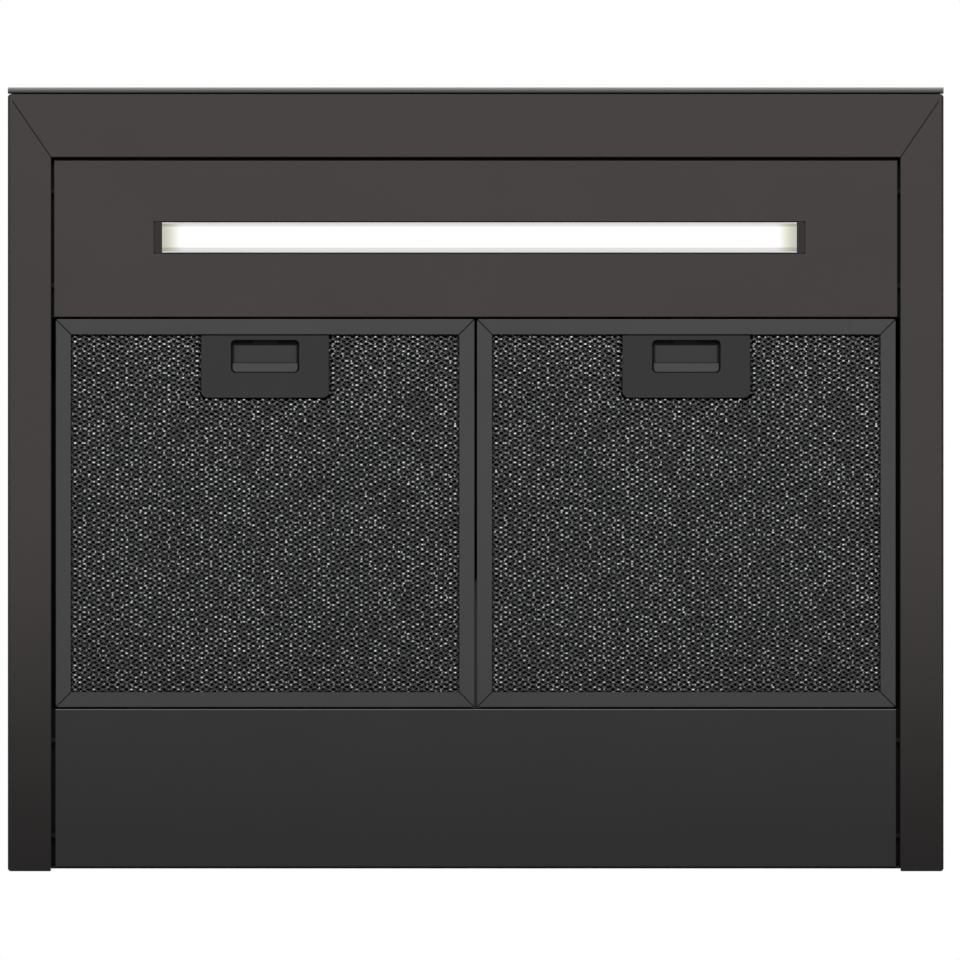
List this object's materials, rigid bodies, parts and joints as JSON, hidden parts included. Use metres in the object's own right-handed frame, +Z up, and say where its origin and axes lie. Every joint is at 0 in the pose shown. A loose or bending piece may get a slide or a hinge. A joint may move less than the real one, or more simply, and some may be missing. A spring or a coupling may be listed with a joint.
{
  "type": "chimney range hood",
  "caption": "Wall-mounted chimney range hood with a flat canopy, front lamp, mesh grease filters with latches, centrifugal blower and telescopic chimney cover.",
  "frame": {"origin": "midway between the two wall-fixing holes, on the rear face of the canopy's back plate", "axes": "+X to the right as seen from the room, +Y towards the wall, +Z up"},
  "size_m": [0.598, 0.501, 0.5813],
  "materials": {
    "black_steel": "matt powder coat",
    "filter_black": "satin powder coat",
    "filter_mesh": "black painted expanded mesh",
    "latch_plastic": "fine matt texture",
    "end_cap_plastic": "satin",
    "dark_glass": "polished edges, dark backing",
    "bonding_foam": "closed foam",
    "lamp_aluminium": "anodised",
    "lamp_cover": "opal, lit from behind",
    "board_green": "solder mask",
    "housing_plastic": "moulded",
    "zinc_steel": "zinc coated sheet",
    "screw_black": "black zinc plated",
    "screw_steel": "zinc plated",
    "blower_plastic": "moulded",
    "motor_steel": "plated",
    "capacitor_case": "moulded case",
    "gland_plastic": "moulded",
    "lead_jacket": "soft PVC jacket"
  },
  "bodies": {
    "hood": {"canopy_shell": "black_steel", "canopy_back": "black_steel", "light_panel": "black_steel", "rear_panel": "black_steel", "chimney_lower": "black_steel", "led_end_caps": "end_cap_plastic", "front_glass": "dark_glass", "glass_tape": "bonding_foam", "collar_gasket": "bonding_foam", "led_channel": "lamp_aluminium", "led_diffuser": "lamp_cover", "led_board": "board_green", "touch_board": "board_green", "control_board": "board_green", "touch_cover": "housing_plastic", "control_box": "housing_plastic", "control_lid": "housing_plastic", "led_driver": "housing_plastic", "tower_shell": "zinc_steel", "tower_back": "zinc_steel", "tower_top": "zinc_steel", "motor_bracket": "zinc_steel", "capacitor_clip": "zinc_steel", "body_screws": "screw_black", "volute_screws": "screw_steel", "motor_bearings": "screw_steel", "volute_left": "blower_plastic", "volute_right": "blower_plastic", "inlet_guard_left": "blower_plastic", "inlet_guard_right": "blower_plastic", "outlet_collar": "blower_plastic", "motor_can": "motor_steel", "motor_end_plate": "motor_steel", "motor_stator": "motor_steel", "run_capacitor": "capacitor_case", "mains_gland": "gland_plastic", "wiring_leads": "lead_jacket"},
    "rotor": {"motor_shaft": "screw_steel", "motor_rotor": "motor_steel", "impeller_rings": "blower_plastic", "impeller_blades": "blower_plastic"},
    "flap_front": {"flap_front": "blower_plastic"},
    "flap_rear": {"flap_rear": "blower_plastic"},
    "upper_chimney": {"chimney_upper": "black_steel", "chimney_bracket": "zinc_steel", "chimney_screws": "screw_black"},
    "filter_left": {"filter_frame_left": "filter_black", "filter_mesh_left": "filter_mesh", "filter_tabs_left": "filter_black", "latch_housing_left": "latch_plastic", "latch_cover_left": "latch_plastic", "latch_spring_left": "screw_steel"},
    "latch_left": {"latch_slider_left": "latch_plastic"},
    "filter_right": {"filter_frame_right": "filter_black", "filter_mesh_right": "filter_mesh", "filter_tabs_right": "filter_black", "latch_housing_right": "latch_plastic", "latch_cover_right": "latch_plastic", "latch_spring_right": "screw_steel"},
    "latch_right": {"latch_slider_right": "latch_plastic"}
  },
  "joints": [
    {"name": "filter_left_tilt", "type": "hinge", "parent": "hood", "child": "filter_left", "pos_m": [-0.13465, -0.1031, -0.0325], "axis": [1, 0, 0], "range_deg": [0, 40]},
    {"name": "latch_left_slide", "type": "slide", "parent": "filter_left", "child": "latch_left", "axis": [0, 1, 0], "range_m": [0, 0.006], "stiffness_N_per_m": 250, "springref_m": -0.003, "deforming": ["latch_spring_left"]},
    {"name": "filter_right_tilt", "type": "hinge", "parent": "hood", "child": "filter_right", "pos_m": [0.13465, -0.1031, -0.0325], "axis": [1, 0, 0], "range_deg": [0, 40]},
    {"name": "latch_right_slide", "type": "slide", "parent": "filter_right", "child": "latch_right", "axis": [0, 1, 0], "range_m": [0, 0.006], "stiffness_N_per_m": 250, "springref_m": -0.003, "deforming": ["latch_spring_right"]},
    {"name": "fan_spin", "type": "hinge", "parent": "hood", "child": "rotor", "pos_m": [0, -0.1, 0.128], "axis": [1, 0, 0], "continuous": true},
    {"name": "flap_front_lift", "type": "hinge", "parent": "hood", "child": "flap_front", "pos_m": [0, -0.137, 0.3024], "axis": [-1, 0, 0], "range_deg": [0, 80]},
    {"name": "flap_rear_lift", "type": "hinge", "parent": "hood", "child": "flap_rear", "pos_m": [0, -0.129, 0.3024], "axis": [1, 0, 0], "range_deg": [0, 80]},
    {"name": "chimney_extend", "type": "slide", "parent": "hood", "child": "upper_chimney", "axis": [0, 0, 1], "range_m": [0, 0.35]}
  ]
}
